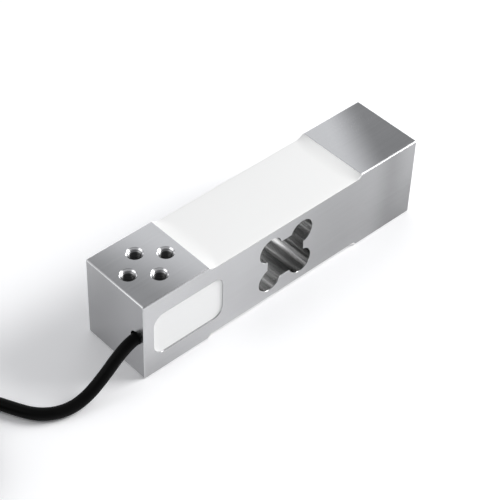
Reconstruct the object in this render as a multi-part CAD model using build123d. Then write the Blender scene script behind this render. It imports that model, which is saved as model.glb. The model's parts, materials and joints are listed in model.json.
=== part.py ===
from build123d import *
import os
from math import radians, tan

os.makedirs("parts", exist_ok=True)

# Single point load cell. Millimetres, +Z up. The origin is at the middle of the block's underside,
# +X points away from the cable, and the side with the terminal pocket faces -Y.

# Spring body
block_length = 150.0
block_width = 35.0
block_height = 40.0
edge_chamfer = 0.5
bolting_end_length = 33.0
recess_depth = 2.0
recess_corner_radius = 2.0
cut_margin = 1.0

# Window through the body: a central rectangle with a round lobe at each corner
window_length = 20.0
window_height = 19.5
lobe_radius = 6.0
lobe_pitch_x = 17.0
lobe_pitch_z = 16.2
edge_break = 0.2

# Tapped holes: four in a diamond at each end, from the top at the cable end, from below at the load end
thread_diameter = 6.0
thread_depth = 12.0
drill_diameter = 5.0
drill_depth = 14.0
drill_point_angle = 118.0
mouth_diameter = 7.2
hole_pitch_x = 19.0
hole_pitch_y = 15.0
pattern_inset = 16.5

# Terminal pocket in the front side
pocket_length = 35.6
pocket_height = 21.0
pocket_corner_radius = 5.0
pocket_depth = 6.5
pocket_past_step = 7.8
filling_setback = 0.8

# Cable and its bore through the end wall
cable_diameter = 5.2
bore_clearance = 0.5
bore_depth_from_front = 5.0
bore_run_in_pocket = 6.0
jacket_in_pocket = 2.8
seal_setback = 3.2
core_diameter = 1.2
core_ring_radius = 0.95
drain_diameter = 0.48

# Wire channel drilled from recess to recess through the pocket
channel_diameter = 3.0
channel_past_step = 4.0
channel_inset_y = 4.6

# Silicone covers over the gauges
cover_edge_thickness = 0.1
cover_crown = 0.95
cover_rise_length = 4.2
cover_rim_gap = 0.1
cover_rise_bend = 0.35

# Strain gauges: film, foil grid and leads
film_length = 9.6
film_width = 6.0
film_thickness = 0.08
film_corner_radius = 0.5
foil_thickness = 0.04
grid_length = 4.8
grid_lines = 8
grid_pitch = 0.44
grid_line_width = 0.24
tab_length = 1.5
tab_width = 1.3
tab_gap = 0.7
lead_diameter = 0.3

# Terminal strips in the recesses
strip_length = 7.0
strip_width = 11.0
strip_thickness = 0.25
strip_from_middle = 24.0
pad_thickness = 0.06
strip_pad_length = 1.6
strip_pad_width = 1.8
strip_pad_pitch = 2.4
strip_pad_inset = 0.4
strip_rows = (-1.5, -0.5, 0.5, 1.5)

# Circuit board in the pocket
board_height = 15.0
board_thickness = 0.8
board_corner_radius = 1.0
core_room = 8.3
board_end_clearance = 3.3
board_pad_length = 2.2
board_pad_height = 1.5
core_pad_pitch = 2.75
wire_pad_pitch = 2.2
chip_length = 3.2
chip_width = 1.6
chip_thickness = 0.55
joint_clearance = 0.02

# Free cable: its put-away hank lies on the floor past the end of the seen stretch
hank_middle_x = -193.6
hank_middle_y = 2.4
hank_straight = 54.0
hank_inner_radius = 13.0
hank_wall = 10.5
hank_layers = 3
hank_edge_radius = 2.0
turn_pitch = 5.3
tie_width = 4.0
tie_thickness = 0.6
tie_offset = 12.0
cable_meets_hank_x = -157.0
cable_leaves_hank_x = -213.5
lead_length = 20.0
bare_length = 6.0
strand_diameter = 0.6
lead_spread = 3.0
lead_landing = 0.5
lead_landing_spread = 0.85
arc_share = 0.45

# Values worked out from the sizes above
half_length = block_length / 2
half_width = block_width / 2
middle_height = block_height / 2
recess_length = block_length - 2 * bolting_end_length
recess_floor = block_height - recess_depth
gauge_x = lobe_pitch_x / 2
step_x = -half_length + bolting_end_length
pocket_end_x = step_x + pocket_past_step
pocket_start_x = pocket_end_x - pocket_length
pocket_middle_x = (pocket_start_x + pocket_end_x) / 2
pocket_floor_y = -half_width + pocket_depth
bore_diameter = cable_diameter + 2 * bore_clearance
bore_y = -half_width + bore_depth_from_front
bore_end_x = pocket_start_x + bore_run_in_pocket
jacket_end_x = pocket_start_x + jacket_in_pocket
channel_x = step_x + channel_past_step
channel_y = -half_width + channel_inset_y
board_length = pocket_length - core_room - board_end_clearance
board_middle_x = pocket_end_x - board_end_clearance - board_length / 2
board_face_y = pocket_floor_y - board_thickness
pad_face_y = board_face_y - pad_thickness
hank_height = (hank_layers - 1) * turn_pitch + cable_diameter
floor_line = cable_diameter / 2

# Planes: drawings in Front have x along the block and y up
Front = Plane.XZ
End = Plane.YZ


def both_sides(sketch, depth):
    """A drawing in the XZ plane, carried the same distance to the front and to the back."""
    return extrude(Front * sketch, depth, both=True)


def turned_over(shape):
    """The same shape for the underside: mirrored about the block's middle height."""
    return mirror(shape, Plane.XY.offset(middle_height))


def recess():
    """Shallow recess over the gauges, with a rounded step at each end."""
    depth = recess_depth + cut_margin
    sketch = Pos(0, recess_floor + depth / 2) * Rectangle(recess_length, depth)
    sketch = fillet(sketch.vertices().group_by(Axis.Y)[0], recess_corner_radius)
    return both_sides(sketch, half_width + cut_margin)


def window():
    """Central rectangle and four lobes: the thin webs above and below the lobes are what bends."""
    sketch = Rectangle(window_length, window_height)
    for side in (-1, 1):
        for level in (-1, 1):
            sketch += Pos(side * lobe_pitch_x / 2, level * lobe_pitch_z / 2) * Circle(lobe_radius)
    return both_sides(Pos(0, middle_height) * sketch, half_width + cut_margin)


def tapped_hole():
    """Blind hole in a top face at z = 0: countersunk mouth, thread and drill point, turned in one."""
    mouth = mouth_diameter / 2
    thread = thread_diameter / 2
    drill = drill_diameter / 2
    thread_end = -thread_depth - (thread - drill)
    point = drill / tan(radians(drill_point_angle / 2))
    section = Polyline(
        (0, cut_margin),
        (mouth, cut_margin),
        (mouth, 0),
        (thread, thread - mouth),
        (thread, -thread_depth),
        (drill, thread_end),
        (drill, -drill_depth),
        (0, -drill_depth - point),
        close=True,
    )
    return revolve(Front * make_face(section), Axis.Z)


def hole_pattern():
    """Four holes in a diamond round the pattern's middle."""
    places = [(hole_pitch_x / 2, 0), (-hole_pitch_x / 2, 0), (0, hole_pitch_y / 2), (0, -hole_pitch_y / 2)]
    return [Pos(x, y, 0) * tapped_hole() for x, y in places]


def pocket_sketch():
    return Pos(pocket_middle_x, middle_height) * RectangleRounded(pocket_length, pocket_height, pocket_corner_radius)


def from_front(sketch, start, end):
    """A drawing in the XZ plane, carried along Y from start to end."""
    return extrude(Front.offset(-start) * sketch, start - end)


def along_x(diameter, start, end, y, z):
    """A round bar along X."""
    return Pos(start, y, z) * Rot(0, 90, 0) * Cylinder(
        diameter / 2, end - start, align=(Align.CENTER, Align.CENTER, Align.MIN)
    )


def cable_bore():
    return along_x(bore_diameter, -half_length - cut_margin, bore_end_x, bore_y, middle_height)


def wire_channel(low, high):
    bar = Cylinder(channel_diameter / 2, high - low, align=(Align.CENTER, Align.CENTER, Align.MIN))
    return Pos(channel_x, channel_y, low) * bar


def spring_body():
    """One aluminium block with everything milled and drilled into it."""
    body = Box(block_length, block_width, block_height, align=(Align.CENTER, Align.CENTER, Align.MIN))
    body = chamfer(body.edges(), edge_chamfer)
    body -= recess()
    body -= turned_over(recess())
    body -= window()
    body -= from_front(pocket_sketch(), -half_width - cut_margin, pocket_floor_y)
    body = chamfer(rim_edges(body), edge_break)
    body -= cable_bore()
    body -= wire_channel(recess_depth - cut_margin, recess_floor + cut_margin)
    cable_end = -half_length + pattern_inset
    for hole in hole_pattern():
        body -= Pos(cable_end, 0, block_height) * hole
        body -= Pos(-cable_end, 0, 0) * Rot(180, 0, 0) * hole
    return body


def rim_edges(body):
    """Edges of the window on both sides and of the pocket: they lie inside the side faces."""
    reach_x = max(window_length, lobe_pitch_x + 2 * lobe_radius) / 2
    reach_z = max(window_height, lobe_pitch_z + 2 * lobe_radius) / 2
    rims = []
    for edge in body.edges():
        box = edge.bounding_box()
        flat = box.size.Y < cut_margin / 100 and abs(abs(box.min.Y) - half_width) < cut_margin / 100
        middle = box.center()
        in_window = abs(middle.X) < reach_x and abs(middle.Z - middle_height) < reach_z
        in_pocket = (
            abs(middle.X - pocket_middle_x) < pocket_length / 2 + edge_break
            and abs(middle.Z - middle_height) < pocket_height / 2 + edge_break
        )
        if flat and (in_window or in_pocket):
            rims.append(edge)
    return rims


def gauge_cover():
    """Silicone in the top recess: a low crown across, and at each end a rise up to the step's rim."""
    crown = recess_floor + cover_crown
    edge = recess_floor + cover_edge_thickness
    outline = Polyline((-half_width, edge), (-half_width, recess_floor), (half_width, recess_floor), (half_width, edge))
    crown_arc = ThreePointArc((half_width, edge), (0, crown), (-half_width, edge))
    strip = extrude(End * make_face(outline + crown_arc), recess_length / 2, both=True)
    wall = recess_length / 2
    rim = block_height - cover_rim_gap
    foot = wall - cover_rise_length
    level = recess_floor + (cover_edge_thickness + cover_crown) / 2
    rise = Polyline((foot, level), (foot, recess_floor), (wall, recess_floor), (wall, rim))
    hollow = ThreePointArc((wall, rim), (wall - cover_rise_length * cover_rise_bend, (level * 2 + rim) / 3), (foot, level))
    for side in (1, -1):
        end = both_sides(make_face(rise + hollow), half_width - edge_chamfer)
        strip += end if side > 0 else mirror(end, Plane.YZ)
    return strip & recess()


def rod(points, diameter, bend=None):
    """Round wire through the points, with small arcs at its corners."""
    bend = bend or diameter
    line = FilletPolyline(*points, radius=bend) if len(points) > 2 else Line(*points)
    start = Plane(line @ 0, z_dir=line % 0)
    return sweep(start * Circle(diameter / 2), line)


def gauge_film(x):
    """Film of one gauge, glued to the recess floor over a lobe. Its tabs point to the cable end."""
    sketch = RectangleRounded(film_length, film_width, film_corner_radius)
    return Pos(x, 0, recess_floor) * extrude(sketch, film_thickness)


def tab_place(side):
    """Middle of a solder tab, from the gauge's middle."""
    x = -film_length / 2 + tab_length / 2 + film_corner_radius
    return x, side * (tab_gap + tab_width) / 2


def gauge_foil(x):
    """Foil of one gauge: lines joined in turn at their ends, and two solder tabs."""
    first = -(grid_lines - 1) * grid_pitch / 2
    right = film_length / 2 - film_corner_radius - grid_line_width
    left = right - grid_length
    sketch = Sketch()
    for line in range(grid_lines):
        sketch += Pos((left + right) / 2, first + line * grid_pitch) * Rectangle(grid_length, grid_line_width)
    for loop in range(grid_lines - 1):
        end = right if loop % 2 == 0 else left
        bridge = Rectangle(2 * grid_line_width, grid_pitch + grid_line_width)
        sketch += Pos(end, first + (loop + 0.5) * grid_pitch) * bridge
    for side in (-1, 1):
        tab_x, tab_y = tab_place(side)
        sketch += Pos(tab_x, tab_y) * Rectangle(tab_length, tab_width)
        start = tab_x + tab_length / 2 - grid_line_width
        line_y = -side * first
        neck = Pos((start + left) / 2, line_y) * Rectangle(left - start + 2 * grid_line_width, grid_line_width)
        sketch += neck
        low, high = sorted((abs(line_y), abs(tab_y)))
        sketch += Pos(start, side * (low + high) / 2) * Rectangle(grid_line_width, high - low + grid_line_width)
    return Pos(x, 0, recess_floor + film_thickness) * extrude(sketch, foil_thickness)


def strip_pad_place(column, row):
    """Middle of a pad on the terminal strip: column 1 faces the gauges, column -1 the wire channel."""
    reach = strip_length / 2 - strip_pad_inset - strip_pad_length / 2
    return -strip_from_middle + column * reach, row * strip_pad_pitch


def terminal_strip():
    sketch = Pos(-strip_from_middle, 0) * Rectangle(strip_length, strip_width)
    return Pos(0, 0, recess_floor) * extrude(sketch, strip_thickness)


def strip_pads():
    """Solder pads of a strip: each runs from the gauge side to the channel side."""
    sketch = Sketch()
    for row in strip_rows:
        left = strip_pad_place(-1, row)[0] - strip_pad_length / 2
        right = strip_pad_place(1, row)[0] + strip_pad_length / 2
        pad = RectangleRounded(right - left, strip_pad_width, strip_pad_width / 4)
        sketch += Pos((left + right) / 2, row * strip_pad_pitch) * pad
    return Pos(0, 0, recess_floor + strip_thickness) * extrude(sketch, pad_thickness)


def gauge_leads(x, rows, detour):
    """Two leads of a gauge, from its tabs to the strip; a detour takes them round the other gauge."""
    radius = lead_diameter / 2
    tab_z = recess_floor + film_thickness + foil_thickness + joint_clearance + radius
    pad_z = recess_floor + strip_thickness + pad_thickness + joint_clearance + radius
    leads = []
    for side, row in zip((-1, 1), rows):
        tab_x, tab_y = tab_place(side)
        pad_x, pad_y = strip_pad_place(1, row)
        points = [(x + tab_x + tab_length / 4, tab_y, tab_z)]
        if detour:
            swing = side * (film_width / 2 + 2 * lead_diameter)
            points.append((x + tab_x - film_length / 4, tab_y, tab_z))
            points.append((x - film_length, swing, tab_z))
            points.append((-gauge_x - film_length, swing, tab_z))
        points.append((pad_x + strip_pad_length, pad_y, pad_z))
        points.append((pad_x - strip_pad_length / 2, pad_y, pad_z))
        leads.append(rod(points, lead_diameter, 2 * lead_diameter))
    return leads


def bridge_wires():
    """Four wires from a strip, down the wire channel, to the upper edge of the pocket's board."""
    radius = lead_diameter / 2
    pad_z = recess_floor + strip_thickness + pad_thickness + joint_clearance + radius
    wires = []
    for number, row in enumerate(strip_rows):
        pad_x, pad_y = strip_pad_place(-1, row)
        lane = row * 2 * lead_diameter
        down_x = channel_x - lane
        down_y = channel_y + lane / 2
        board_x, board_z = wire_pad_place(number)
        face = pad_face_y - joint_clearance - radius
        wires.append(
            rod(
                [
                    (pad_x + strip_pad_length / 4, pad_y, pad_z),
                    (pad_x - strip_pad_length, pad_y, pad_z),
                    (down_x, down_y, pad_z - number * joint_clearance),
                    (down_x, down_y, middle_height + pocket_height / 2 - lead_diameter * (2 + 2 * number)),
                    (board_x, face, board_z + board_pad_height),
                    (board_x, face, board_z - board_pad_height / 4),
                ],
                lead_diameter,
                lead_diameter,
            )
        )
    return wires


def core_pad_place(number):
    """Pads for the cable's cores: a column at the cable's end of the board."""
    return board_middle_x - board_length / 2 + board_pad_length, middle_height + (number - 2) * core_pad_pitch


def wire_pad_place(number):
    """Pads for the bridge wires: a row along the board's upper edge, under the channel."""
    x = board_middle_x + board_length / 2 - board_pad_height - number * wire_pad_pitch
    return x, middle_height + board_height / 2 - board_pad_height


def circuit_board():
    outline = Pos(board_middle_x, middle_height) * RectangleRounded(board_length, board_height, board_corner_radius)
    return from_front(outline, board_face_y, pocket_floor_y)


def board_pads():
    sketch = Sketch()
    for number in range(5):
        x, z = core_pad_place(number)
        sketch += Pos(x, z) * RectangleRounded(board_pad_length, board_pad_height, board_pad_height / 4)
    for number in range(4):
        x, z = wire_pad_place(number)
        for level in (z, block_height - z):
            sketch += Pos(x, level) * RectangleRounded(board_pad_height, board_pad_length, board_pad_height / 4)
    return from_front(sketch, pad_face_y, board_face_y)


def chip_resistor(x, z, upright=False):
    """Trim resistor soldered flat on the board."""
    size = (chip_width, chip_length) if upright else (chip_length, chip_width)
    return from_front(Pos(x, z) * Rectangle(*size), board_face_y - chip_thickness, board_face_y)


def cores_at_jacket():
    """Places of the four cores and the drain wire in the jacket, across and up from its axis."""
    ring = core_ring_radius
    return [(0, -ring), (ring, 0), (0, 0), (-ring, 0), (0, ring)]


def pocket_core(number, diameter):
    """One conductor of the cable, from the jacket's end to its pad."""
    across, up = cores_at_jacket()[number]
    pad_x, pad_z = core_pad_place(number)
    face = pad_face_y - joint_clearance - diameter / 2
    board_edge = board_middle_x - board_length / 2
    start = (jacket_end_x, bore_y + across, middle_height + up)
    clear = (jacket_end_x + diameter / 2, bore_y + across, middle_height + up)
    end = (pad_x + board_pad_length / 4, face, pad_z)
    if number == 2:
        return rod([start, (board_edge, bore_y, middle_height), end], diameter, diameter)
    return rod([start, clear, (board_edge - diameter / 2, face, pad_z), end], diameter, diameter / 3)


def seal():
    """Bead of sealant between the bore's wall and the jacket."""
    start = -half_length + seal_setback
    end = pocket_start_x
    ring = along_x(bore_diameter, start, end, bore_y, middle_height)
    return ring - along_x(cable_diameter, start, end, bore_y, middle_height)


def filling(contents):
    """Silicone poured into the pocket and the wire channel round what they hold."""
    front = -half_width + filling_setback
    mass = from_front(pocket_sketch(), front, pocket_floor_y)
    mass += along_x(bore_diameter, pocket_start_x, bore_end_x, bore_y, middle_height)
    mass += wire_channel(recess_depth, recess_floor)
    mass -= along_x(cable_diameter, -half_length, jacket_end_x, bore_y, middle_height)
    for piece in contents:
        mass -= piece
    return mass


# Route of the free cable, from its end in the pocket to the hank. Points chosen by hand.
cable_route = [
    (jacket_end_x, bore_y, 20.0),
    (-75.6, -12.5, 20.0),
    (-83.0, -12.5, 16.5),
    (-91.5, -12.6, 9.4),
    (-99.6, -12.5, 4.0),
    (-107.6, -12.2, 2.62),
    (-114.9, -9.5, 2.62),
    (-120.3, -4.4, 2.62),
    (-124.0, 2.6, 2.62),
    (-127.6, 9.9, 2.62),
    (-134.2, 17.2, 2.7),
    (-143.6, 21.8, 2.9),
    (-154.0, 23.2, 3.2),
    (-163.0, 23.3, 3.22),
]


def cable_tube(points):
    """Round cable along straight runs and tangent arcs, each arc as large as its runs allow."""
    radii = []
    for before, corner, after in zip(points, points[1:], points[2:]):
        first = Vector(corner) - Vector(before)
        second = Vector(after) - Vector(corner)
        turn = radians(first.get_angle(second))
        radii.append(arc_share * min(first.length, second.length) / tan(turn / 2))
    line = FilletPolyline(*points, radius=radii)
    print("cable length", round(line.length, 1), "arc radii", [round(radius, 1) for radius in radii])
    return sweep(Plane(line @ 0, z_dir=line % 0) * Circle(cable_diameter / 2), line)


def hank():
    """Outer shape of the put-away turns: a long ring with rounded edges, held just off the floor by its ties."""
    outer = SlotCenterToCenter(hank_straight, 2 * (hank_inner_radius + hank_wall))
    ring = outer - SlotCenterToCenter(hank_straight, 2 * hank_inner_radius)
    solid = extrude(ring, hank_height)
    flat_edges = solid.edges().group_by(Axis.Z)
    solid = fillet(flat_edges[0] + flat_edges[-1], hank_edge_radius)
    return Pos(hank_middle_x, hank_middle_y, tie_thickness) * solid


def hank_tie(side):
    """Band round the turns on one side of the hank."""
    around = hank_wall + 2 * tie_thickness, hank_height + 2 * tie_thickness
    band = RectangleRounded(*around, hank_edge_radius + tie_thickness)
    band -= RectangleRounded(hank_wall, hank_height, hank_edge_radius)
    middle_y = hank_middle_y + side * (hank_inner_radius + hank_wall / 2)
    place = Pos(hank_middle_x - side * tie_offset, middle_y, tie_thickness + hank_height / 2)
    return place * extrude(End * band, tie_width / 2, both=True)


# Route of the cable's end, from the innermost turn into the middle of the hank. Points chosen by hand.
tail_route = [
    (-223.0, -13.2, 3.2),
    (-214.0, -12.0, 3.1),
    (-206.5, -7.2, 2.8),
    (-200.5, -1.2, 2.62),
    (-192.0, 2.4, 2.62),
    (-183.0, 2.4, 2.62),
]


def far_lead_points(number, diameter):
    """One conductor past the jacket's cut end: it comes down to the floor and fans out."""
    tail_x, tail_y, tail_z = tail_route[-1]
    across, up = cores_at_jacket()[number]
    down = diameter / 2 + joint_clearance
    fan = lead_order.index(number) - 2
    return [
        (tail_x, tail_y + across, tail_z + up),
        (tail_x + core_diameter, tail_y + across, tail_z + up),
        (tail_x + lead_length * lead_landing, tail_y + fan * lead_spread * lead_landing_spread, down),
        (tail_x + lead_length, tail_y + fan * lead_spread, down),
    ]


def bare_end(number):
    """Tinned strands past the insulation of a core, in line with it."""
    low, end = [Vector(point) for point in far_lead_points(number, core_diameter)[-2:]]
    tip = end + (end - low).normalized() * bare_length
    return rod([end, tip], strand_diameter)


core_names = ["red", "green", "shield", "white", "black"]
core_diameters = [drain_diameter if name == "shield" else core_diameter for name in core_names]
lead_order = [3, 0, 2, 4, 1]


def gauge_side():
    """Everything glued into the top recess: gauges, leads, terminal strip, bridge wires and their cover."""
    pieces = {
        "cable_side_gauge_film": [gauge_film(-gauge_x)],
        "cable_side_gauge_foil": [gauge_foil(-gauge_x)],
        "cable_side_gauge_leads": gauge_leads(-gauge_x, strip_rows[1:3], False),
        "load_side_gauge_film": [gauge_film(gauge_x)],
        "load_side_gauge_foil": [gauge_foil(gauge_x)],
        "load_side_gauge_leads": gauge_leads(gauge_x, strip_rows[::3], True),
        "terminal_strip": [terminal_strip()],
        "terminal_strip_pads": strip_pads().solids(),
        "bridge_wires": bridge_wires(),
    }
    cover = gauge_cover()
    for solids in pieces.values():
        for solid in solids:
            cover -= solid
    pieces["gauge_cover"] = [cover]
    return pieces


def pocket_pieces():
    """Board, trim resistors and cable cores in the terminal pocket."""
    left = board_middle_x - chip_length / 2
    pieces = {
        "circuit_board": [circuit_board()],
        "circuit_board_pads": board_pads().solids(),
        "span_trim_resistor": [chip_resistor(left, middle_height + chip_length)],
        "output_trim_resistor": [chip_resistor(left, middle_height - chip_length)],
        "zero_balance_resistor": [chip_resistor(board_middle_x + chip_length, middle_height, upright=True)],
    }
    for number, name in enumerate(core_names):
        pieces[f"{name}_core_in_pocket"] = [pocket_core(number, core_diameters[number])]
    return pieces


def free_cable():
    """The cable outside the block: seen stretch, hank, tail and the leads at its end."""
    turns = hank()
    beyond = Box(hank_straight, block_length, block_height, align=(Align.MAX, Align.CENTER, Align.CENTER))
    pieces = {
        "cable_lead": [cable_tube(cable_route) - turns - Pos(cable_meets_hank_x, 0, 0) * beyond],
        "cable_hank": [turns],
        "cable_tail": [cable_tube(tail_route) - turns - Pos(cable_leaves_hank_x, 0, 0) * beyond],
        "hank_ties": [hank_tie(1), hank_tie(-1)],
    }
    for number, name in enumerate(core_names):
        diameter = core_diameters[number]
        pieces[f"{name}_lead"] = [rod(far_lead_points(number, diameter), diameter)]
    pieces["tinned_lead_ends"] = [bare_end(number) for number, name in enumerate(core_names) if name != "shield"]
    return pieces


parts = {"spring_body": [spring_body()]}
for name, solids in gauge_side().items():
    parts[f"top_{name}"] = solids
    parts[f"bottom_{name}"] = [turned_over(solid) for solid in solids]
parts.update(pocket_pieces())
parts["cable_seal"] = [seal()]
held = [name for name in parts if name.endswith(("bridge_wires", "in_pocket", "resistor")) or "circuit" in name]
parts["pocket_filling"] = [filling([solid for name in held for solid in parts[name]])]
parts.update(free_cable())

for name, solids in parts.items():
    export_step(solids[0] if len(solids) == 1 else Compound(children=solids), f"parts/{name}.step")
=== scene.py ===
"""Single point load cell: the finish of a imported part, laid out as a Blender add-on and run as a script."""

import json
import math

import bpy
import numpy as np
from bpy.props import FloatProperty, FloatVectorProperty, IntProperty, PointerProperty
from mathutils import Matrix, Vector


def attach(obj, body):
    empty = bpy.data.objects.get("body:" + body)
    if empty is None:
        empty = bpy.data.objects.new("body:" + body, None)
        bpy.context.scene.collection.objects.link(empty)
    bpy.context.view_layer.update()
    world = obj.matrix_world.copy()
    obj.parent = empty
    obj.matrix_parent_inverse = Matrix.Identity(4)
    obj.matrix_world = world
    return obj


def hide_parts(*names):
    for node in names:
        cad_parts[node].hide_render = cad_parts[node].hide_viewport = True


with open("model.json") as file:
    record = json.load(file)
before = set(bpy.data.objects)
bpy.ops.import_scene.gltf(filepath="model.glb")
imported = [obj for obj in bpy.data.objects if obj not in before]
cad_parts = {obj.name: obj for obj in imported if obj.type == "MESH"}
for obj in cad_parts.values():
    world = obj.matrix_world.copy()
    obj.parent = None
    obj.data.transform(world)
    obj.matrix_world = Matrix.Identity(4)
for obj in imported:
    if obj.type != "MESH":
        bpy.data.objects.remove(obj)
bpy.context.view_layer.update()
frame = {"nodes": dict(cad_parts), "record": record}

bl_info = {
    "name": "Single point load cell",
    "version": (1, 0, 0),
    "blender": (4, 5, 0),
    "location": "3D View > Sidebar > Load cell",
    "description": "Builds the covers, threads, cable and finishes of a single point load cell",
    "category": "Object",
}

MM = 0.001


# Sizes and colours that a user would change


class BodySettings(bpy.types.PropertyGroup):
    """Finish and threads of the machined block"""

    colour: FloatVectorProperty(
        name="Aluminium",
        description="Colour of the machined block",
        subtype="COLOR",
        size=3,
        default=(0.52, 0.522, 0.53),
    )
    roughness: FloatProperty(
        name="Roughness",
        description="Roughness of the milled faces",
        default=0.24,
        min=0.0,
        max=1.0,
    )
    thread_pitch: FloatProperty(
        name="Thread pitch",
        description="Rise of the thread in one turn",
        default=0.001,
        min=0.0005,
        unit="LENGTH",
    )
    thread_radius: FloatProperty(
        name="Thread radius",
        description="Radius at the thread's root",
        default=0.003,
        min=0.001,
        unit="LENGTH",
    )
    thread_depth: FloatProperty(
        name="Thread depth",
        description="Length of the threaded wall",
        default=0.012,
        min=0.004,
        unit="LENGTH",
    )


class SiliconeSettings(bpy.types.PropertyGroup):
    """Cast silicone over the gauges and in the pocket"""

    colour: FloatVectorProperty(
        name="Silicone",
        description="Colour of the silicone",
        subtype="COLOR",
        size=3,
        default=(0.87, 0.87, 0.86),
    )
    crown: FloatProperty(
        name="Crown",
        description="Height of a cover's middle over its sides",
        default=0.00095,
        unit="LENGTH",
    )
    rise: FloatProperty(
        name="Rise",
        description="Length over which a cover climbs to a step's rim",
        default=0.0042,
        unit="LENGTH",
    )
    meniscus: FloatProperty(
        name="Meniscus",
        description="How far the pocket's filling climbs its wall",
        default=0.00025,
        unit="LENGTH",
    )


class CableSettings(bpy.types.PropertyGroup):
    """Free cable with its put-away hank"""

    colour: FloatVectorProperty(
        name="Jacket",
        description="Colour of the cable's jacket",
        subtype="COLOR",
        size=3,
        default=(0.002, 0.002, 0.002),
    )
    diameter: FloatProperty(
        name="Diameter",
        description="Diameter of the jacket",
        default=0.0052,
        unit="LENGTH",
    )
    length: FloatProperty(
        name="Length",
        description="Declared length of the cable",
        default=1.5,
        unit="LENGTH",
    )
    turns: IntProperty(
        name="Turns",
        description="Turns in the hank, half of them inside the others",
        default=6,
        min=2,
    )


class StageSettings(bpy.types.PropertyGroup):
    """Floor, light and camera"""

    lens: FloatProperty(name="Lens", description="Focal length of the camera", default=117.6, unit="CAMERA")
    key: FloatProperty(
        name="Key light",
        description="Power of the lamp in front at the right",
        default=19.8,
        unit="POWER",
    )
    fill: FloatProperty(
        name="Fill light",
        description="Power of the lamp behind at the left",
        default=4.7,
        unit="POWER",
    )
    floor: FloatVectorProperty(
        name="Floor",
        description="Colour of the floor",
        subtype="COLOR",
        size=3,
        default=(0.86, 0.865, 0.88),
    )


class LoadCellSettings(bpy.types.PropertyGroup):
    """All settings of the load cell"""

    body: PointerProperty(type=BodySettings)
    silicone: PointerProperty(type=SiliconeSettings)
    cable: PointerProperty(type=CableSettings)
    stage: PointerProperty(type=StageSettings)


def settings():
    return bpy.context.scene.load_cell


# Shader expressions


class Wire:
    """An output socket that can be used in Python expressions: each operator adds a Math node."""

    def __init__(self, sheet, socket):
        self.sheet = sheet
        self.socket = socket

    def maths(self, operation, *values, clamp=False):
        options = {"operation": operation, "use_clamp": clamp}
        return self.sheet.add("ShaderNodeMath", options, dict(enumerate(values)))["Value"]

    def __add__(self, other):
        return self.maths("ADD", self, other)

    def __sub__(self, other):
        return self.maths("SUBTRACT", self, other)

    def __mul__(self, other):
        return self.maths("MULTIPLY", self, other)

    def __truediv__(self, other):
        return self.maths("DIVIDE", self, other)

    def __radd__(self, other):
        return self.maths("ADD", other, self)

    def __rsub__(self, other):
        return self.maths("SUBTRACT", other, self)

    def __rmul__(self, other):
        return self.maths("MULTIPLY", other, self)

    def __abs__(self):
        return self.maths("ABSOLUTE", self)

    def clamped(self):
        return self.maths("ADD", self, 0.0, clamp=True)

    def smooth(self, start, end):
        """0 before start, 1 past end, and a smooth step between them."""
        step = ((self - start) / (end - start)).clamped()
        return step * step * (3.0 - 2.0 * step)


class Node:
    """A node of a sheet: its outputs are read by name or number."""

    def __init__(self, sheet, node):
        self.sheet = sheet
        self.node = node

    def __getitem__(self, name):
        return Wire(self.sheet, self.node.outputs[name])


class Sheet:
    """Node tree of a material or the world, written as expressions."""

    def __init__(self, tree):
        self.tree = tree
        tree.nodes.clear()

    def add(self, kind, options=None, values=None):
        """Adds a node: first its options, then the values or the links of its sockets."""
        node = self.tree.nodes.new(kind)
        for name, value in (options or {}).items():
            setattr(node, name, value)
        for name, value in (values or {}).items():
            if isinstance(value, Wire):
                self.tree.links.new(value.socket, node.inputs[name])
            else:
                node.inputs[name].default_value = value
        return Node(self, node)

    def place(self):
        """Object coordinates, in metres."""
        return self.add("ShaderNodeTexCoord")["Object"]

    def axes(self, vector):
        split = self.add("ShaderNodeSeparateXYZ", None, {"Vector": vector})
        return split["X"], split["Y"], split["Z"]

    def stretched(self, vector, factors):
        """The vector with each part multiplied by its own factor."""
        return self.add("ShaderNodeVectorMath", {"operation": "MULTIPLY"}, {0: vector, 1: factors})["Vector"]

    def towards(self, vector, direction):
        """Dot product of the vector with a direction."""
        options = {"operation": "DOT_PRODUCT"}
        return self.add("ShaderNodeVectorMath", options, {0: vector, 1: direction})["Value"]

    def noise(self, vector, scale, detail, roughness=0.5):
        values = {"Vector": vector, "Scale": scale, "Detail": detail, "Roughness": roughness}
        return self.add("ShaderNodeTexNoise", None, values)["Fac"]

    def blend(self, share, first, second):
        """Mix of two colours by a share from 0 to 1."""
        node = self.add("ShaderNodeMix", {"data_type": "RGBA", "clamp_factor": True})
        for index, value in ((0, share), (6, first), (7, second)):
            socket = node.node.inputs[index]
            if isinstance(value, Wire):
                self.tree.links.new(value.socket, socket)
            elif index == 0:
                socket.default_value = value
            else:
                socket.default_value = (*value, 1.0)
        return Wire(self, node.node.outputs[2])

    def bump(self, height, distance, strength):
        values = {"Height": height, "Distance": distance, "Strength": strength}
        return self.add("ShaderNodeBump", None, values)["Normal"]


def finish(name, colour, build, **constants):
    """A material: build gets the sheet and the colour, and returns what varies over the surface.

    The constants are set on the shader's own sockets.
    """
    material = bpy.data.materials.new(name)
    material.use_nodes = True
    material.diffuse_color = (*colour, 1.0)
    sheet = Sheet(material.node_tree)
    values = {name.replace("_", " "): value for name, value in constants.items()}
    values.update(build(sheet, colour))
    shader = sheet.add("ShaderNodeBsdfPrincipled", None, values)
    sheet.add("ShaderNodeOutputMaterial", None, {"Surface": shader["BSDF"]})
    return material


def shade(colour, factor):
    """The colour made darker or lighter."""
    return tuple(min(1.0, part * factor) for part in colour)


def sunk(z):
    """How far a place lies inside the block, from its top or its underside, whichever is nearer."""
    mid_height = 0.02
    return mid_height - abs(z - mid_height)


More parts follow.
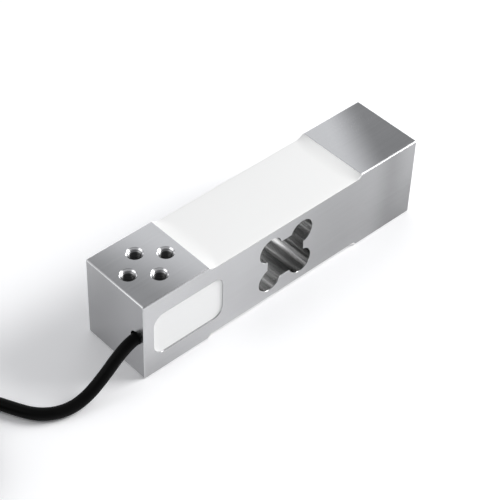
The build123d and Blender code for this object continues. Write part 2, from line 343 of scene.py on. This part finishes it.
def machined(sheet, colour):
    """Fine milled aluminium: long faint tool lines, a fine grain and soft clouds.

    The window's walls are cut coarser and get painted light: lighter on the left, with streaks of painted
    reflection. The countersinks are bright, and the holes below them get painted shade, near black. Each seen
    face has painted light and shade along it, standing in for the studio that a fine milled face mirrors:
    top_painted_light, side_painted_light and end_painted_light.
    """
    place = sheet.place()
    x, y, z = sheet.axes(place)
    grain = sheet.noise(place, 1500.0, 2.0, 0.7)
    lines = sheet.noise(sheet.stretched(place, (22.0, 900.0, 900.0)), 1.0, 3.0, 0.6)
    clouds = sheet.noise(sheet.stretched(place, (30.0, 26.0, 14.0)), 1.0, 2.0, 0.5)
    cut = sheet.noise(sheet.stretched(place, (700.0, 30.0, 700.0)), 1.0, 3.0, 0.6)
    # Regions: inside the window, the mouths of the holes, and the walls below the mouths, which get painted
    # shade
    depth = sunk(z)
    inside = (1.0 - abs(x).smooth(0.0146, 0.0149)) * depth.smooth(0.0054, 0.0057)
    inside = inside * (1.0 - abs(y).smooth(0.0174, 0.01748))
    within = (1.0 - abs(x).smooth(0.0735, 0.0742)) * (1.0 - abs(y).smooth(0.0160, 0.0166))
    mouths = within * depth.smooth(0.0001, 0.00025)
    painted_bore_shade = within * depth.smooth(0.0007, 0.0016)
    # Painted light and shade: one plain level, and along the top, the pocket's side and the cable's end a
    # painted lightness of their own, standing in for the studio that each face mirrors
    plain = 0.74
    # painted light and shade on the top: dark at the cable's end, light along the middle, dark again at the
    # far end
    far = (x - y * 0.5).smooth(0.044, 0.066)
    top_painted_light = 0.16 + (x + y * 0.3).smooth(-0.074, -0.042) * (1.0 - far) * 0.75 - far * 0.14
    # painted shade: the side darker low down at the cable's end
    painted_foot_shade = (1.0 - x.smooth(-0.075, -0.03)) * (1.0 - z.smooth(0.0, 0.03))
    # painted shade: the side darker towards the far end
    side_painted_light = 0.82 - x.smooth(-0.03, 0.028) * 0.43 - x.smooth(0.048, 0.062) * 0.18 - painted_foot_shade * 0.27
    # painted light: the side lighter again at the far corner, more so higher up
    side_painted_light = side_painted_light + x.smooth(0.06, 0.073) * z.smooth(0.005, 0.032) * 0.22
    # painted shade: the end face darker towards the back
    end_painted_light = 0.82 - y.smooth(-0.014, 0.012) * 0.36
    # each face's painted light replaces the plain level there; random clouds and tool lines go on top
    tone_and_painted_light = plain + z.smooth(0.0396, 0.0399) * (top_painted_light - plain)
    tone_and_painted_light = tone_and_painted_light + (0.0 - y).smooth(0.01725, 0.01745) * (side_painted_light - plain)
    tone_and_painted_light = tone_and_painted_light + (0.0 - x).smooth(0.0745, 0.0749) * (end_painted_light - plain)
    tone_and_painted_light = tone_and_painted_light + (clouds - 0.5) * 0.2 + (lines - 0.5) * 0.12
    base = sheet.blend(tone_and_painted_light, shade(colour, 0.4), shade(colour, 1.2))
    base = sheet.blend(mouths, base, (0.86, 0.86, 0.87))
    # painted shade: the holes below the countersinks are near black
    base = sheet.blend(painted_bore_shade, base, (0.03, 0.03, 0.03))
    # painted light in the window: its walls lighter to the left, and in streaks that stand in for reflections
    light = cut.smooth(0.3, 0.7) * 0.45 + (1.0 - x.smooth(-0.01, 0.004)) * 0.52
    wall = sheet.blend(light, (0.3, 0.3, 0.298), (0.94, 0.94, 0.935))
    rough = settings().body.roughness + (grain - 0.5) * 0.10 + (clouds - 0.5) * 0.08 - inside * 0.04
    height = grain * 0.5 + lines * 0.35 + cut * inside * 1.5
    return {
        "Base Color": sheet.blend(inside, base, wall),
        "Roughness": rough,
        "Normal": sheet.bump(height, 0.00002, 0.5),
    }


def threads(sheet, colour):
    """Cut threads: bright at the mouth, with painted shade below the first turn, near black and blotched by a
    grain.
    """
    place = sheet.place()
    grain = sheet.noise(place, 2500.0, 2.0)
    # painted shade: the walls turn near black below the first turn of the thread
    painted_depth_shade = sunk(sheet.axes(place)[2]).smooth(0.0006, 0.0024)
    painted_shade_grain = sheet.blend(grain, (0.05, 0.05, 0.05), (0.1, 0.1, 0.1))
    return {
        "Base Color": sheet.blend(painted_depth_shade, shade(colour, 0.8), painted_shade_grain),
        "Roughness": 0.26 + grain * 0.15,
        "Normal": sheet.bump(grain, 0.00001, 0.5),
    }


def silicone(sheet, colour):
    """Cast silicone: a smooth satin skin with a faint flow, fine dust and pinholes."""
    place = sheet.place()
    flow = sheet.noise(sheet.stretched(place, (35.0, 90.0, 60.0)), 1.0, 2.0)
    dust = sheet.noise(place, 1800.0, 2.0, 0.7)
    cells = sheet.add("ShaderNodeTexVoronoi", {"feature": "F1"}, {"Vector": place, "Scale": 230.0})
    pits = 1.0 - cells["Distance"].smooth(0.02, 0.09)
    return {
        "Base Color": sheet.blend(flow * 0.6 + dust * 0.4, shade(colour, 0.985), shade(colour, 1.01)),
        "Roughness": 0.42 + (flow - 0.5) * 0.12 + dust * 0.06,
        "Normal": sheet.bump(flow * 1.2 + dust * 0.05 - pits * 0.06, 0.00012, 0.6),
    }


def jacket(sheet, colour):
    """Extruded jacket: semi-gloss black with a fine grain and a light film of dust."""
    place = sheet.place()
    film = sheet.noise(place, 160.0, 4.0, 0.6)
    grain = sheet.noise(place, 2600.0, 2.0)
    return {
        "Base Color": sheet.blend(film.smooth(0.45, 0.8) * 0.5, shade(colour, 0.9), shade(colour, 1.7)),
        "Roughness": 0.36 + film * 0.12 + grain * 0.06,
        "Normal": sheet.bump(film * 0.8 + grain * 0.3, 0.00003, 0.3),
    }


def moulded(sheet, colour):
    """Insulation, laminate and other plastics: slight mottling and a fine skin."""
    place = sheet.place()
    mottle = sheet.noise(place, 420.0, 3.0)
    grain = sheet.noise(place, 3000.0, 2.0)
    return {
        "Base Color": sheet.blend(mottle, shade(colour, 0.88), shade(colour, 1.12)),
        "Roughness": 0.38 + mottle * 0.16,
        "Normal": sheet.bump(grain, 0.00001, 0.6),
    }


def tinned(sheet, colour):
    """Tinned or etched metal: soft blotches in colour and gloss."""
    place = sheet.place()
    blotch = sheet.noise(place, 1100.0, 3.0)
    return {
        "Base Color": sheet.blend(blotch, shade(colour, 0.82), shade(colour, 1.08)),
        "Roughness": 0.26 + blotch * 0.2,
        "Normal": sheet.bump(blotch, 0.00002, 0.5),
    }


def woven(sheet, colour):
    """Hook and loop tape: fine ribs across and a fuzzy skin."""
    place = sheet.place()
    pace = sheet.axes(place)[0] * 9000.0
    ribs = pace.maths("SINE", pace) * 0.5 + 0.5
    fuzz = sheet.noise(place, 2200.0, 3.0, 0.7)
    return {
        "Base Color": sheet.blend(fuzz * 0.6 + ribs * 0.4, shade(colour, 0.6), shade(colour, 1.7)),
        "Roughness": 0.75 + fuzz * 0.2,
        "Normal": sheet.bump(fuzz + ribs * 0.6, 0.0001, 0.7),
    }


# Surfaces


def skin(name, rings, material, wrap=False):
    """Closed surface from an array of rings, each a closed loop of points: quads between neighbours.

    rings has the shape (rings, points, 3) in metres. With wrap the last ring joins the first, as on a torus,
    and otherwise the two end loops are closed with one face each. If the signed volume, which is the sum over
    faces of corner . (corner x corner) / 6, comes out negative, the faces are turned round.
    """
    count, around = rings.shape[:2]
    index = np.arange(count * around).reshape(count, around)
    ahead = np.roll(index, -1, axis=0) if wrap else index[1:]
    here = index if wrap else index[:-1]
    quads = np.stack([here, np.roll(here, -1, 1), np.roll(ahead, -1, 1), ahead], axis=-1).reshape(-1, 4)
    points = rings.reshape(-1, 3)
    corners = points[quads] - points.mean(0)
    volume = np.einsum("ij,ij->i", corners[:, 0], np.cross(corners[:, 1], corners[:, 2])).sum()
    volume += np.einsum("ij,ij->i", corners[:, 0], np.cross(corners[:, 2], corners[:, 3])).sum()
    faces = quads.tolist()
    if not wrap:
        faces += [index[0][::-1].tolist(), index[-1].tolist()]
    if volume < 0:
        faces = [face[::-1] for face in faces]
    mesh = bpy.data.meshes.new(name)
    mesh.from_pydata(points.tolist(), [], faces)
    mesh.validate()
    mesh.polygons.foreach_set("use_smooth", np.full(len(mesh.polygons), True))
    mesh.update()
    return placed(name, mesh, material)


def placed(name, data, material):
    """Links a new piece, gives it its material, and lets it ride on the cell."""
    piece = bpy.data.objects.new(name, data)
    bpy.context.scene.collection.objects.link(piece)
    data.materials.append(material)
    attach(piece, "root")
    return piece


def faded(value, start, end):
    """Smooth step from 0 at start to 1 at end, on arrays."""
    step = np.clip((value - start) / (end - start), 0.0, 1.0)
    return step * step * (3.0 - 2.0 * step)


def ripple(first, second, seed):
    """Sum of four sine waves in two directions with fixed phases: a gentle unevenness from -1 to 1."""
    slow, fast = 40.0, 160.0
    source = np.random.default_rng(seed)
    total = 0.0
    for _ in range(4):
        pace = source.uniform(slow, fast, 2)
        total = total + np.sin(first * pace[0] + second * pace[1] + source.uniform(0, 6.28)) / 4
    return total


def cover_rings(crown, rise):
    """Cover of the top recess as loops across the block, one after another along it.

    Its underside follows the recess: flat at 38 mm, and at each end up a quarter circle of 2 mm radius. Its
    top is that floor plus a low bow, crown x (1 - (y / half width)^2)^0.5. Over the last stretch it climbs to
    the step's rim, as the share of that stretch to the power climb_power, later at the sides than midway.
    """
    half, width, floor, rim, corner = 42 * MM, 17.47 * MM, 38 * MM, 40 * MM, 2 * MM
    edge, wave, gap, climb_power = 0.12 * MM, 0.05 * MM, 0.02 * MM, 1.8
    along = half * np.sin(np.linspace(-1, 1, 161) * math.pi / 2) * 0.9995
    across = np.sin(np.linspace(-1, 1, 61) * math.pi / 2)
    reach = np.maximum(np.abs(along) - (half - corner), 0.0)
    under = floor + corner - np.sqrt(corner**2 - reach**2)
    rise = rise * (1 + 0.8 * (1 - across[None, :] ** 4))
    climb = np.clip((np.abs(along)[:, None] - (half - rise)) / rise, 0.0, 1.0) ** climb_power
    x = np.repeat(along[:, None], across.size, 1)
    y = width * across[None, :] + wave * ripple(x, x * 0.3, 5) * np.abs(across[None, :]) ** 6
    y = np.clip(y, -width - gap, width + gap)
    bow = crown * np.clip(1 - across**2, 0, 1)[None, :] ** 0.5 + edge
    low = floor + bow * (1 + 0.05 * ripple(x, y, 9))
    top = low + (rim - 3 * gap - low) * climb
    top = np.maximum(top, under[:, None] + gap)
    bottom = np.repeat(under[:, None], across.size, 1) + 0.004 * MM
    over = np.stack([x, y, top], -1)
    below = np.stack([x, y, bottom], -1)[:, ::-1]
    return np.concatenate([over, below], axis=1)


def filling_rings(meniscus):
    """Filling of the pocket as loops of its rounded outline, from the middle of its face to its back.

    The outline is a 35.6 x 21 mm rectangle with 5 mm corners. On the face the loops are that outline scaled
    from nearly 0 to 1, and near the wall the face climbs by meniscus x exp(-distance / reach).
    """
    per_corner, least, rim = 20, 0.002, 0.9985
    wave, reach = 0.05 * MM, 0.7 * MM
    centre_x, centre_z, long, high, corner = -52 * MM, 20 * MM, 35.58 * MM, 20.98 * MM, 5 * MM
    face, back = -16.7 * MM, -11.01 * MM
    quarter = np.linspace(0, math.pi / 2, per_corner)
    turns = np.concatenate([quarter + k * math.pi / 2 for k in range(4)])
    middle_x = np.repeat([1, -1, -1, 1], per_corner) * (long / 2 - corner)
    middle_z = np.repeat([1, 1, -1, -1], per_corner) * (high / 2 - corner)
    outline = np.stack([middle_x + corner * np.cos(turns), middle_z + corner * np.sin(turns)], -1)
    inner = np.concatenate([1 - np.linspace(1, 0, 34)[:-1] ** 1.6, [rim, 1.0]])
    inner = np.clip(inner, least, 1.0)
    loops = outline[None] * inner[:, None, None]
    wall = np.linalg.norm(outline, axis=-1)[None] * (1 - inner[:, None])
    depth = face - meniscus * np.exp(-wall / reach)
    depth = depth + wave * ripple(loops[..., 0], loops[..., 1], 3) * faded(wall, 0, 2 * MM)
    front = np.stack([loops[..., 0] + centre_x, depth, loops[..., 1] + centre_z], -1)
    wall_loop = front[-1:] + (0, 0.04 * MM, 0)
    rear = np.full(len(outline), back)
    side = np.stack([outline[:, 0] + centre_x, rear, outline[:, 1] + centre_z], -1)[None]
    inward = side.repeat(3, 0)
    shrink = np.array([0.6, 0.3, least])[:, None]
    inward[..., 0] = centre_x + outline[None, :, 0] * shrink
    inward[..., 2] = centre_z + outline[None, :, 1] * shrink
    return np.concatenate([front, wall_loop, side, inward])


def thread_rings(body, middle, direction):
    """Threaded sleeves of four holes: a loop of radius and depth, carried round each hole's axis.

    The radius is root - depth of cut x trapezoid(depth / pitch - turn), which is a helix, and it is kept
    outside the 45 degree countersink at the mouth. The sleeve's outer side lies on the hole's wall.
    """
    around, rows = 48, 170
    root, pitch = body.thread_radius - 0.02 * MM, body.thread_pitch
    cut, countersink, start = 0.5 * MM, 3.62 * MM, 0.62 * MM
    depths = np.linspace(start, body.thread_depth - 0.05 * MM, rows)
    turn = np.linspace(0, 1, around, endpoint=False)
    phase = (depths[None, :] / pitch - turn[:, None]) % 1.0
    ridge = np.clip((0.5 - np.abs(phase - 0.5)) * 2 * 1.35 - 0.12, 0, 1)
    ridge = ridge * (1 - faded(depths, body.thread_depth - 0.6 * MM, body.thread_depth - 0.1 * MM))[None, :]
    inner = root - cut * ridge
    inner = np.maximum(inner, np.minimum(root, countersink - depths)[None, :])
    outer = np.full((around, 2), root + 0.012 * MM)
    radius = np.concatenate([inner, outer], 1)
    depth = np.concatenate([depths, depths[[-1, 0]]])[None, :].repeat(around, 0)
    angle = (turn * 2 * math.pi)[:, None]
    x = middle[0] + radius * np.cos(angle)
    y = middle[1] + radius * np.sin(angle)
    return np.stack([x, y, middle[2] - direction * depth], -1)


def wire_rings(points, radius, around, strands, twist):
    """Round wire along a smooth line: a circle carried on frames worked out by projection along the path.

    The line is a Catmull-Rom curve through the points. With strands the circle becomes a clover whose lobes
    turn by twist, in radians for each metre, as on twisted strands.
    """
    groove, end_share = 0.14, 0.9
    points = np.array(points, float)
    padded = np.concatenate([2 * points[:1] - points[1:2], points, 2 * points[-1:] - points[-2:-1]])
    step = np.linspace(0, 1, 9)[:-1, None, None]
    a, b, c, d = (padded[i : len(padded) - 3 + i][None] for i in range(4))
    square, cube = 2 * a - 5 * b + 4 * c - d, 3 * b - a - 3 * c + d
    line = 0.5 * (2 * b + (c - a) * step + square * step**2 + cube * step**3)
    line = np.concatenate([line.transpose(1, 0, 2).reshape(-1, 3), points[-1:]])
    ahead = np.gradient(line, axis=0)
    ahead /= np.linalg.norm(ahead, axis=1)[:, None]
    up = np.array([0, 0, 1.0]) - ahead * ahead[:, 2:3]
    up /= np.linalg.norm(up, axis=1)[:, None]
    side = np.cross(ahead, up)
    run = np.concatenate([[0], np.cumsum(np.linalg.norm(np.diff(line, axis=0), axis=1))])
    angle = np.linspace(0, 2 * math.pi, around, endpoint=False)[None, :] + twist * run[:, None]
    lobes = 1 - groove * (0.5 + 0.5 * np.cos(strands * (angle - twist * run[:, None]))) if strands else 1.0
    reach = radius * lobes * np.ones_like(angle)
    reach[[0, -1]] *= end_share
    offset = np.cos(angle)[..., None] * side[:, None] + np.sin(angle)[..., None] * up[:, None]
    return line[:, None] + reach[..., None] * offset


# Route of the cable, in metres, along part.py's lines, with the turns of the hank between the two
lead_route = [
    (-0.0670, -0.0125, 0.0200),
    (-0.0756, -0.0125, 0.0200),
    (-0.0830, -0.0125, 0.0165),
    (-0.0915, -0.0126, 0.0094),
    (-0.0996, -0.0125, 0.0040),
    (-0.1076, -0.0122, 0.00262),
    (-0.1149, -0.0095, 0.00262),
    (-0.1203, -0.0044, 0.00262),
    (-0.1240, 0.0026, 0.00262),
    (-0.1276, 0.0099, 0.00262),
    (-0.1342, 0.0172, 0.0027),
    (-0.1436, 0.0218, 0.0029),
    (-0.1540, 0.0232, 0.0032),
    (-0.1630, 0.0233, 0.00322),
]
tail_route = [
    (-0.2180, -0.01325, 0.0032),
    (-0.2127, -0.0121, 0.0031),
    (-0.2078, -0.0090, 0.0029),
    (-0.2037, -0.0048, 0.0027),
    (-0.1999, -0.0010, 0.00262),
    (-0.1950, 0.0016, 0.00262),
    (-0.1895, 0.0024, 0.00262),
    (-0.1830, 0.0024, 0.00262),
]


def hank_route(turns):
    """Control points of the hank: an outer column of turns going up, and an inner one coming down.

    A fold has nine points on a circle round the fold's centre, 10 to 170 degrees past the straight and
    1 / cos 10 wider than the wanted radius, so that the curve touches that radius. A straight has three.
    """
    near, far, middle, layer, base = -0.1666, -0.2206, 0.0024, 0.0053, 0.0032
    outer, inner = 0.0209, 0.0156
    corners = np.radians(np.arange(10, 180, 20))
    widened = 1 / math.cos(math.radians(10))
    straights = np.array([0.12, 0.5, 0.88])
    half = turns // 2
    route = []
    for turn in range(turns):
        outside = turn < half
        radius = outer if outside else inner
        level = turn if outside else turns - 1 - turn
        top_x = near + (far - near) * straights
        if turn > 0:
            route += [(x, middle + radius, base + layer * level) for x in top_x]
        else:
            route += [(x, middle + radius, base) for x in top_x[1:]]
        for angle in corners:
            wide = radius * widened
            point = far - wide * math.sin(angle), middle + wide * math.cos(angle)
            route.append((*point, base + layer * level))
        if turn == turns - 1:
            break
        down = 0.0 if outside else layer
        for share in straights:
            drop = down * faded(share, 0.2, 0.95)
            route.append((far + (near - far) * share, middle - radius, base + layer * level - drop))
        climb = layer if turn < half - 1 else 0.0
        inward = outer - inner if turn == half - 1 else 0.0
        for angle in corners:
            wide = (radius - inward * faded(angle, 0.0, 1.9)) * widened
            point = near + wide * math.sin(angle), middle - wide * math.cos(angle)
            lift = climb * faded(angle, 0.7, 2.1)
            route.append((*point, base + layer * level - down + lift))
    return route


# Operators


class LOADCELL_OT_finishes(bpy.types.Operator):
    """Give every carried-over node its procedural material"""

    bl_idname = "load_cell.finishes"
    bl_label = "Finishes"

    def execute(self, context):
        chosen = settings()
        metal, white, black = (tuple(part.colour) for part in (chosen.body, chosen.silicone, chosen.cable))
        made = {
            "machined_aluminium": finish("machined aluminium", metal, machined, Metallic=1.0),
            "cut_threads": finish("cut threads", metal, threads, Metallic=1.0),
            "white_silicone": finish("white silicone", white, silicone),
            "gauge_film": finish("gauge film", (0.62, 0.3, 0.05), moulded, Coat_Weight=0.4),
            "gauge_foil": finish("gauge foil", (0.58, 0.52, 0.44), tinned, Metallic=1.0),
            "enamelled_wire": finish("enamelled wire", (0.5, 0.16, 0.06), moulded, Coat_Weight=0.5),
            "terminal_laminate": finish("terminal laminate", (0.6, 0.52, 0.28), moulded),
            "board_laminate": finish("board laminate", (0.02, 0.17, 0.07), moulded, Coat_Weight=0.4),
            "solder": finish("solder", (0.74, 0.74, 0.75), tinned, Metallic=1.0),
            "resistor_black": finish("resistor glaze", (0.025, 0.025, 0.03), moulded, Coat_Weight=0.3),
            "bore_sealant": finish("bore sealant", (0.02, 0.02, 0.02), moulded),
            "cable_jacket": finish("cable jacket", black, jacket, Specular_IOR_Level=0.07),
            "tie_plastic": finish("tie tape", (0.022, 0.022, 0.024), woven),
            "core_red": finish("red insulation", (0.5, 0.015, 0.012), moulded),
            "core_black": finish("black insulation", (0.012, 0.012, 0.012), moulded),
            "core_green": finish("green insulation", (0.015, 0.24, 0.06), moulded),
            "core_white": finish("white insulation", (0.8, 0.8, 0.78), moulded),
            "tinned_copper": finish("tinned copper", (0.72, 0.71, 0.69), tinned, Metallic=1.0),
        }
        for row in frame["record"]["subparts"]:
            mesh = frame["nodes"][row["node"]].data
            mesh.materials.clear()
            mesh.materials.append(made[row["material_slot"]])
        return {"FINISHED"}


class LOADCELL_OT_covers(bpy.types.Operator):
    """Cast the silicone over the gauges, above and below, and into the terminal pocket"""

    bl_idname = "load_cell.covers"
    bl_label = "Silicone"

    def execute(self, context):
        chosen = settings().silicone
        material = bpy.data.materials["white silicone"]
        rings = cover_rings(chosen.crown, chosen.rise)
        top = skin("top_cover", rings, material)
        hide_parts("top_gauge_cover")
        below = rings * (1, 1, -1) + (0, 0, 40 * MM)
        bottom = skin("bottom_cover", below, material)
        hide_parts("bottom_gauge_cover")
        filling = skin("pocket_potting", filling_rings(chosen.meniscus), material)
        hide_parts("pocket_filling")
        return {"FINISHED"}


class LOADCELL_OT_threads(bpy.types.Operator):
    """Cut the threads of the four holes at each end"""

    bl_idname = "load_cell.threads"
    bl_label = "Threads"

    def execute(self, context):
        body = settings().body
        material = bpy.data.materials["cut threads"]
        along, across, middle, height = 9.5 * MM, 7.5 * MM, 58.5 * MM, 40 * MM
        places = [(along, 0.0), (-along, 0.0), (0.0, across), (0.0, -across)]
        ends = (("cable", -middle, height, 1), ("load", middle, 0.0, -1))
        for end, middle_x, face, direction in ends:
            for number, (x, y) in enumerate(places, 1):
                rings = thread_rings(body, (middle_x + x, y, face), direction)
                skin(f"{end}_end_thread_{number}", rings, material, wrap=True)
        return {"FINISHED"}


class LOADCELL_OT_cable(bpy.types.Operator):
    """Lay the cable: out of its bore, over the floor, and into its hank"""

    bl_idname = "load_cell.cable"
    bl_label = "Cable"

    def execute(self, context):
        chosen = settings().cable
        route = lead_route + hank_route(chosen.turns) + tail_route
        curve = bpy.data.curves.new("cable", "CURVE")
        curve.dimensions = "3D"
        line = curve.splines.new("NURBS")
        line.points.add(len(route) - 1)
        line.points.foreach_set("co", np.array([(*point, 1.0) for point in route]).ravel())
        line.order_u = 3
        line.use_endpoint_u = True
        line.resolution_u = 8
        curve.bevel_depth = chosen.diameter / 2
        curve.bevel_resolution = 6
        curve.use_fill_caps = True
        cable = placed("cable", curve, bpy.data.materials["cable jacket"])
        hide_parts("cable_lead", "cable_hank", "cable_tail")
        on_it = [*bare_wires(), *tie_bands()]
        return {"FINISHED"}


def bare_wires():
    """Cores, drain wire and tinned strands past the cut jacket, each lying in a soft bend on the floor.

    For each core: its place across and up in the jacket, and its place in the fan on the floor.
    """
    tail = np.array(tail_route[-1])
    drain, core, strand, pitch = 0.24 * MM, 0.6 * MM, 0.3 * MM, 0.95 * MM
    twist = 2600.0
    cores = {
        "red": (0, -1, -1),
        "green": (1, 0, 2),
        "shield": (0, 0, 0),
        "white": (-1, 0, -2),
        "black": (0, 1, 1),
    }
    made = []
    for name, (across, up, fan) in cores.items():
        radius = drain if name == "shield" else core
        low = radius + 0.03 * MM
        half_way = (tail[2] + up * pitch + low) / 2
        route = [
            tail + (-1.0 * MM, across * pitch, up * pitch),
            tail + (1.4 * MM, across * pitch, up * pitch),
            (tail[0] + 5.6 * MM, tail[1] + fan * 1.35 * MM + across * 0.4 * MM, half_way),
            (tail[0] + 10 * MM, tail[1] + fan * 2.55 * MM, low),
            (tail[0] + 15 * MM, tail[1] + fan * 2.85 * MM, low),
            (tail[0] + 20 * MM, tail[1] + fan * 3.0 * MM, low),
        ]
        strands = 5 if name == "shield" else 0
        rings = wire_rings(route, radius, 30 if strands else 14, strands, twist)
        material = bpy.data.materials["tinned copper" if name == "shield" else f"{name} insulation"]
        wire = skin(f"{name}_wire", rings, material)
        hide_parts(f"{name}_lead")
        made.append(wire)
        if name == "shield":
            continue
        end, before = np.array(route[-1]), np.array(route[-2])
        line = [end + (end - before) * share for share in (-0.1, 0.58, 1.16)]
        rings = wire_rings(line, strand, 42, 7, twist)
        tip = skin(f"{name}_tinned_end", rings, bpy.data.materials["tinned copper"])
        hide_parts("tinned_lead_ends")
        made.append(tip)
    return made


def tie_bands():
    """Hook and loop bands round the hank's two sides.

    A band is a thin rectangle carried round the sixth power oval |y / a|^6 + |z / b|^6 = 1 in the YZ plane,
    10.5 x 15.8 mm inside. Lengths are in mm until the rings are complete.
    """
    middle_x, middle_y, middle_z, column = -193.6, 2.4, 8.5, 18.25
    half_wide, half_high, apart, power, around = 5.25, 7.9, 12.0, 6, 96
    made = []
    angle = np.linspace(0, 2 * math.pi, around, endpoint=False)
    unit = (np.abs(np.cos(angle)) ** power + np.abs(np.sin(angle)) ** power) ** (-1 / power)
    profile = np.array([(-2.0, 0.02), (2.0, 0.02), (2.0, 0.56), (1.8, 0.58), (-1.8, 0.58), (-2.0, 0.56)])
    wide, thick = profile[:, 0], profile[None, :, 1]
    for name, side in (("back", 1), ("front", -1)):
        y = middle_y + side * column + (np.cos(angle) * unit)[:, None] * (half_wide + thick)
        z = middle_z + (np.sin(angle) * unit)[:, None] * (half_high + thick)
        x = middle_x - side * apart + wide[None, :].repeat(around, 0)
        rings = np.stack([x, y, z], -1) * MM
        band = skin(f"{name}_hank_band", rings, bpy.data.materials["tie tape"], wrap=True)
        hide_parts("hank_ties")
        made.append(band)
    return made


class LOADCELL_OT_stage(bpy.types.Operator):
    """Set up the floor, the light and the camera"""

    bl_idname = "load_cell.stage"
    bl_label = "Stage"

    def execute(self, context):
        chosen = settings().stage
        mesh = bpy.data.meshes.new("floor")
        mesh.from_pydata([(-4, -4, 0), (4, -4, 0), (4, 4, 0), (-4, 4, 0)], [], [(0, 1, 2, 3)])
        floor = bpy.data.objects.new("floor", mesh)
        bpy.context.scene.collection.objects.link(floor)
        material = bpy.data.materials.new("pale floor")
        material.use_nodes = True
        sheet = Sheet(material.node_tree)
        # The camera and the mirrors see a white floor, and the light that it throws back is duller
        path = sheet.add("ShaderNodeLightPath")
        seen = (path["Is Camera Ray"] + path["Is Glossy Ray"] + path["Is Transmission Ray"]).clamped()
        speck = sheet.noise(sheet.place(), 60.0, 2.0)
        plain = sheet.blend(speck, shade(chosen.floor, 0.995), shade(chosen.floor, 1.0))
        dull = sheet.add("ShaderNodeBsdfDiffuse", None, {"Color": plain})
        bright = sheet.add("ShaderNodeBsdfDiffuse", None, {"Color": (1.09, 1.09, 1.095, 1.0)})
        both = sheet.add("ShaderNodeMixShader", None, {0: seen, 1: dull["BSDF"], 2: bright["BSDF"]})
        sheet.add("ShaderNodeOutputMaterial", None, {"Surface": both["Shader"]})
        mesh.materials.append(material)
        light_world(context.scene)
        soft_lamp("key", chosen.key, 0.75, (0.754, -0.368, 0.545))
        soft_lamp("fill", chosen.fill, 1.0, (-0.701, 0.405, 0.588))
        context.scene.camera = photo_camera(chosen.lens)
        context.scene.view_settings.view_transform = "Standard"
        return {"FINISHED"}


def photo_camera(lens):
    """Camera at the place and angle that were fitted to the block's corners."""
    camera = bpy.data.cameras.new("camera")
    camera.lens = lens
    camera.clip_start = 0.01
    holder = bpy.data.objects.new("camera", camera)
    bpy.context.scene.collection.objects.link(holder)
    place = Vector((-0.34290, -0.35045, 0.48279))
    right = Vector((0.73702, -0.67526, 0.02872))
    ahead = Vector((0.50095, 0.51726, -0.69389))
    turn = Matrix((right, right.cross(ahead), -ahead)).transposed()
    holder.matrix_world = Matrix.Translation(place) @ turn.to_4x4()
    return holder


def light_world(scene):
    """World: white to the camera, and an even light round the object.

    In that light stand a pale horizon, a brighter wall that the tops mirror, and a small strong light that
    the front edges mirror.
    """
    world = bpy.data.worlds.new("studio")
    world.use_nodes = True
    scene.world = world
    sheet = Sheet(world.node_tree)
    path = sheet.add("ShaderNodeLightPath")
    way = sheet.add("ShaderNodeTexCoord")["Generated"]
    level = 1.0 - sheet.axes(way)[2].smooth(0.05, 0.3)
    wall = sheet.towards(way, (0.533, 0.635, 0.559))
    strip = sheet.towards(way, (0.662, -0.596, 0.454))
    ambient = sheet.blend(wall.smooth(0.8, 0.99), (0.365, 0.368, 0.378), (0.96, 0.97, 0.99))
    ambient = sheet.blend(level, ambient, (0.8, 0.805, 0.82))
    ambient = sheet.blend(strip.smooth(0.985, 0.995), ambient, (2.8, 2.8, 2.8))
    colour = sheet.blend(path["Is Camera Ray"], ambient, (1.0, 1.0, 1.0))
    lit = sheet.add("ShaderNodeBackground", None, {"Color": colour, "Strength": 1.0})
    sheet.add("ShaderNodeOutputWorld", None, {"Surface": lit["Background"]})


def soft_lamp(name, power, size, direction):
    """Large square lamp, off from the block in the given direction and turned to it."""
    distance = 1.5
    lamp = bpy.data.lights.new(name, "AREA")
    lamp.size = size
    lamp.energy = power
    holder = bpy.data.objects.new(name, lamp)
    bpy.context.scene.collection.objects.link(holder)
    direction = Vector(direction).normalized()
    turn = direction.to_track_quat("Z", "Y").to_matrix().to_4x4()
    holder.matrix_world = Matrix.Translation(direction * distance) @ turn


class LOADCELL_PT_panel(bpy.types.Panel):
    """Panel that lists the steps"""

    bl_idname = "LOADCELL_PT_panel"
    bl_label = "Load cell"
    bl_space_type = "VIEW_3D"
    bl_region_type = "UI"
    bl_category = "Load cell"

    def draw(self, context):
        for step in steps:
            self.layout.operator(step.bl_idname)
        for group in ("body", "silicone", "cable", "stage"):
            box = self.layout.box()
            values = getattr(context.scene.load_cell, group)
            for name in values.__annotations__:
                box.prop(values, name)


groups = (BodySettings, SiliconeSettings, CableSettings, StageSettings, LoadCellSettings)
steps = (LOADCELL_OT_finishes, LOADCELL_OT_covers, LOADCELL_OT_threads, LOADCELL_OT_cable, LOADCELL_OT_stage)


def register():
    for kind in (*groups, *steps, LOADCELL_PT_panel):
        bpy.utils.register_class(kind)
    bpy.types.Scene.load_cell = PointerProperty(type=LoadCellSettings)


def unregister():
    del bpy.types.Scene.load_cell
    for kind in reversed((*groups, *steps, LOADCELL_PT_panel)):
        bpy.utils.unregister_class(kind)


def main():
    register()
    bpy.ops.load_cell.finishes()
    bpy.ops.load_cell.covers()
    bpy.ops.load_cell.threads()
    bpy.ops.load_cell.cable()
    bpy.ops.load_cell.stage()


if __name__ == "__main__":
    main()
